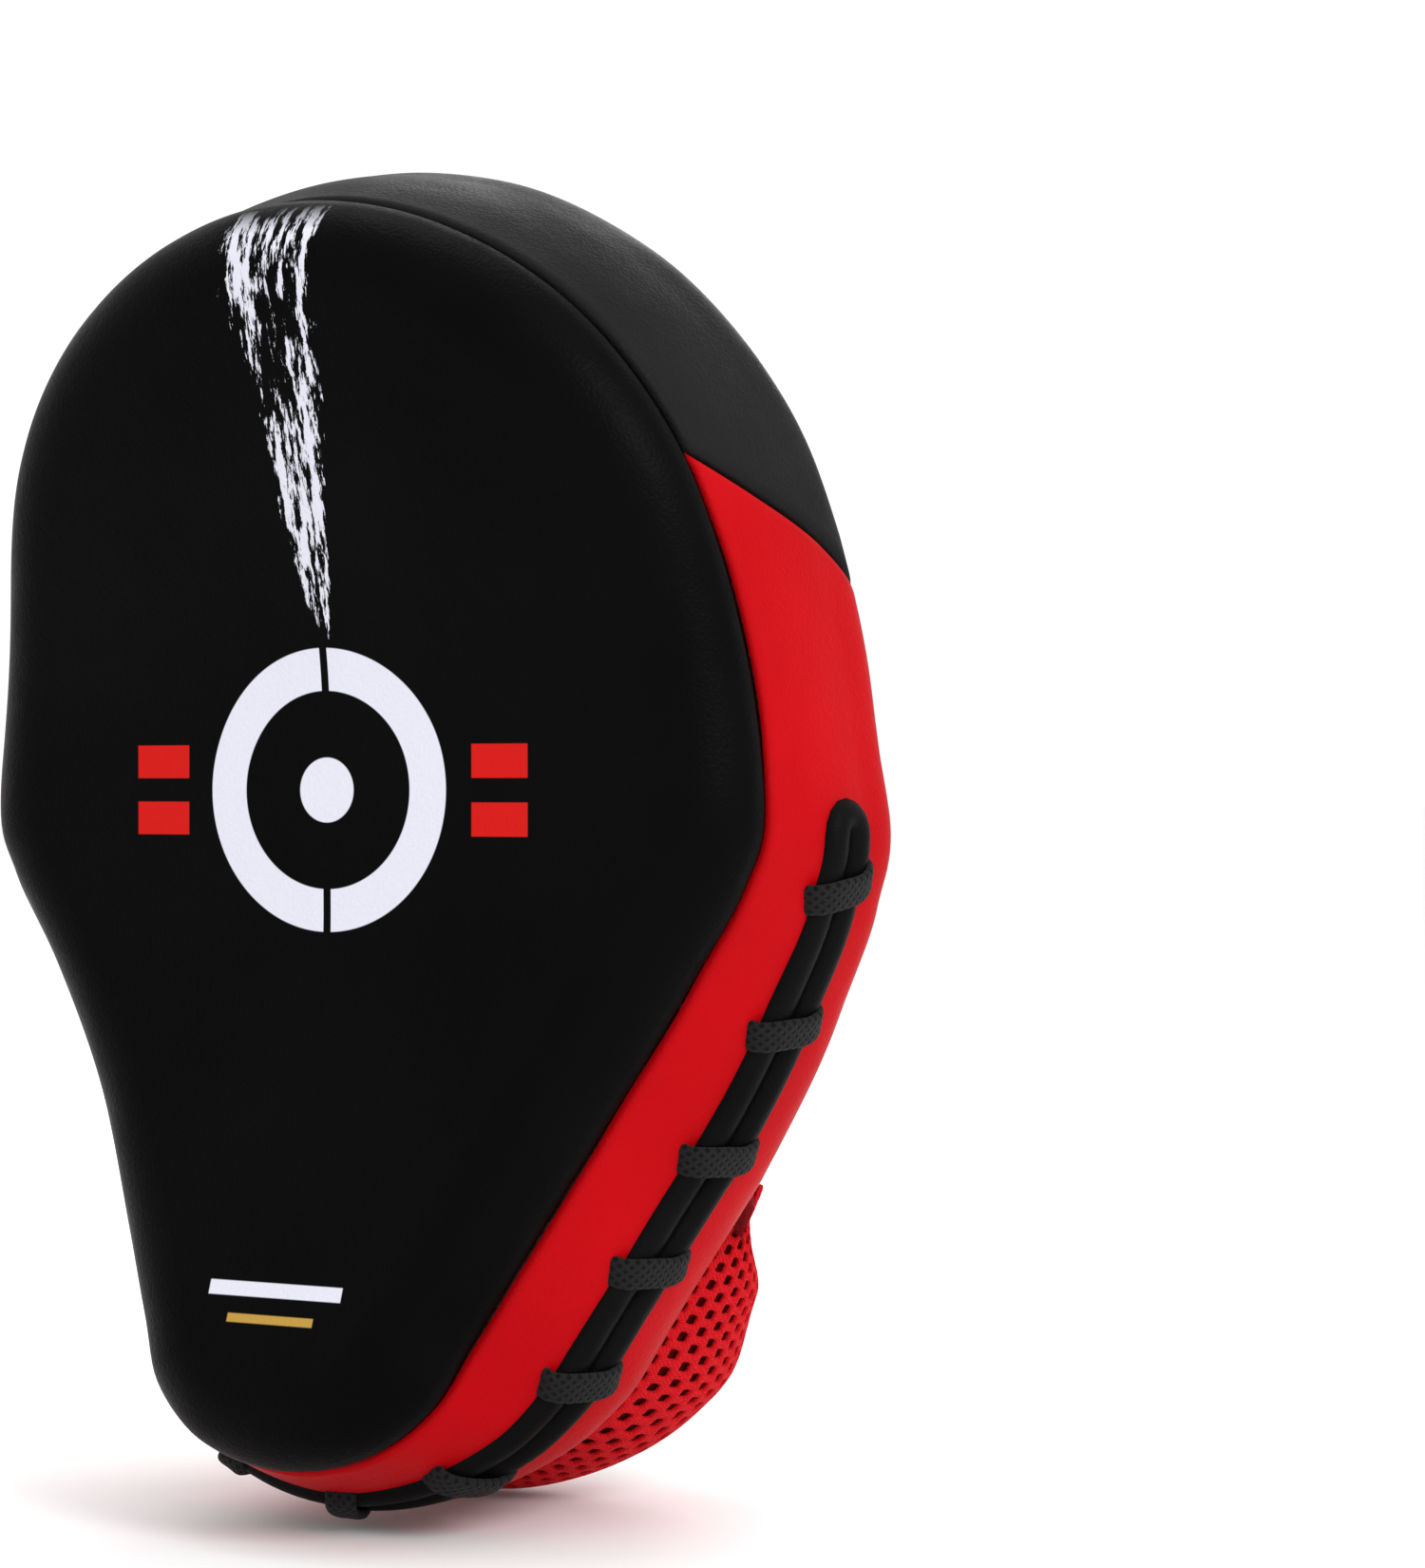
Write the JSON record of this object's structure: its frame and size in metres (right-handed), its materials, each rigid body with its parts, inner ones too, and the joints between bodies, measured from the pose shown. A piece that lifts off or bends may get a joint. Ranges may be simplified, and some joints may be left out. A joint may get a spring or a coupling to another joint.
{
  "type": "focus mitt",
  "caption": "Curved boxing focus mitt with a black striking face, red laced side band, mesh finger hood and white hand band.",
  "frame": {"origin": "on the palm plane, at the middle of the grip, where the hand holds the mitt", "axes": "+Z towards the fingertips, -Y out of the striking face, +Y towards the hand side, X across the mitt, which is symmetric about X = 0"},
  "size_m": [0.2168, 0.1535, 0.2974],
  "materials": {
    "black_leather": "fine-grained synthetic leather, semi-matt",
    "red_leather": "smooth synthetic leather, semi-matt",
    "white_leather": "smooth synthetic leather, satin",
    "red_mesh": "spacer mesh with open holes",
    "black_lace": "flat braid",
    "firm_foam": "closed-cell EVA foam",
    "soft_foam": "open-cell foam"
  },
  "bodies": {
    "root": {"strike_cover": "black_leather", "upper_gusset": "black_leather", "back_panel": "black_leather", "slot_welt": "black_leather", "lace_tongue": "black_leather", "hood_lining": "black_leather", "bolster_cover": "black_leather", "side_panel": "red_leather", "hood_patch": "red_leather", "hood_mouth_binding": "red_leather", "hood_piping_left": "red_leather", "hood_piping_right": "red_leather", "hood_strip_left": "red_leather", "hood_strip_right": "red_leather", "hood_mesh": "red_mesh", "bolster_mesh": "red_mesh", "slot_lace": "black_lace", "foam_strike_sheet": "firm_foam", "foam_back_board": "firm_foam", "foam_core": "soft_foam", "hood_padding": "soft_foam", "bolster_foam": "soft_foam"},
    "hand_band": {"hand_tongue": "white_leather", "hand_band_centre": "white_leather", "hand_band_left": "white_leather", "hand_band_right": "white_leather", "band_binding": "white_leather", "band_top_hem_left": "white_leather", "band_top_hem_right": "white_leather"}
  },
  "joints": [
    {"name": "hand_band_lift", "type": "slide", "parent": "root", "child": "hand_band", "axis": [0, 1, 0], "range_m": [0, 0.006], "stiffness_N_per_m": 900}
  ]
}
